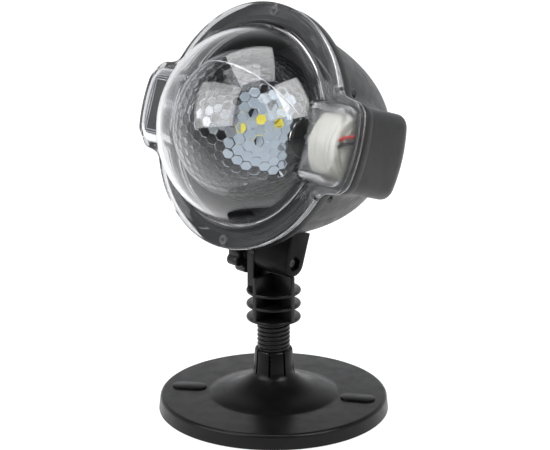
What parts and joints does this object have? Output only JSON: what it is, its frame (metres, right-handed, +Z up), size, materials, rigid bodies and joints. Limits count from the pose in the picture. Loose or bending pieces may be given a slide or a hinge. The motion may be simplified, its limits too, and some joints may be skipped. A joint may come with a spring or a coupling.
{
  "type": "light projector",
  "caption": "Tilting spotlight projector: clear domed cover over a turning faceted lens ball, round black housing with side pods, ribbed screw-in neck and disc base.",
  "frame": {"origin": "centre of the base underside, on the floor", "axes": "+Z up along the neck, the lamp faces -Y, tilt axis along X"},
  "size_m": [0.1544, 0.1355, 0.2205],
  "materials": {
    "base_black": "fine satin texture",
    "stem_black": "satin",
    "knob_black": "satin",
    "housing_black": "satin",
    "gland_black": "satin",
    "inner_black": "matt",
    "clear_cover": "clear, lightly smoked",
    "clear_ball": "clear, faceted lenses",
    "rubber_black": "matt",
    "steel": "zinc plated",
    "cream_plastic": "moulded",
    "hub_black": "moulded",
    "aluminium": "plain",
    "led_pcb": "white solder mask",
    "led_yellow": "phosphor",
    "green_pcb": "green solder mask",
    "parts_dark": "moulded",
    "lead_red": "insulation",
    "lead_black": "insulation"
  },
  "bodies": {
    "base": {"base_disc": "base_black", "base_pad": "rubber_black"},
    "neck": {"stem": "stem_black"},
    "knob": {"clamp_knob": "knob_black", "clamp_bolt": "steel", "knob_washer": "steel"},
    "head": {"rear_housing": "housing_black", "front_cover": "clear_cover", "cover_gasket": "rubber_black", "cover_screws": "steel", "clamp_nut": "steel", "cable_gland": "gland_black", "gland_seal": "rubber_black", "gland_nut": "gland_black", "drive_motor": "cream_plastic", "motor_cap": "cream_plastic", "motor_screws": "steel", "motor_lead_red": "lead_red", "motor_lead_black": "lead_black", "led_arm": "aluminium", "arm_bracket": "inner_black", "bracket_screws": "steel", "heat_sink": "aluminium", "led_board": "led_pcb", "led_chips": "led_yellow", "led_parts": "parts_dark", "board_screws": "steel", "inner_shroud": "inner_black", "shroud_screws": "steel", "control_board": "green_pcb", "board_parts": "parts_dark", "control_screws": "steel", "led_lead_red": "lead_red", "led_lead_black": "lead_black"},
    "ball": {"ball_main_shell": "clear_ball", "ball_cap_shell": "clear_ball", "ball_hub_left": "hub_black", "ball_hub_right": "hub_black", "motor_shaft": "steel"}
  },
  "joints": [
    {"name": "neck_turn", "type": "hinge", "parent": "base", "child": "neck", "pos_m": [0, 0, 0.034], "axis": [0, 0, 1], "range_deg": [-180, 180]},
    {"name": "head_tilt", "type": "hinge", "parent": "neck", "child": "head", "pos_m": [0, 0, 0.084], "axis": [1, 0, 0], "range_deg": [-60, 50]},
    {"name": "knob_turn", "type": "hinge", "parent": "neck", "child": "knob", "pos_m": [-0.02, 0, 0.084], "axis": [1, 0, 0], "range_deg": [-30, 180]},
    {"name": "ball_spin", "type": "hinge", "parent": "head", "child": "ball", "pos_m": [0, -0.01736, 0.15872], "axis": [1, 0, 0], "continuous": true}
  ]
}
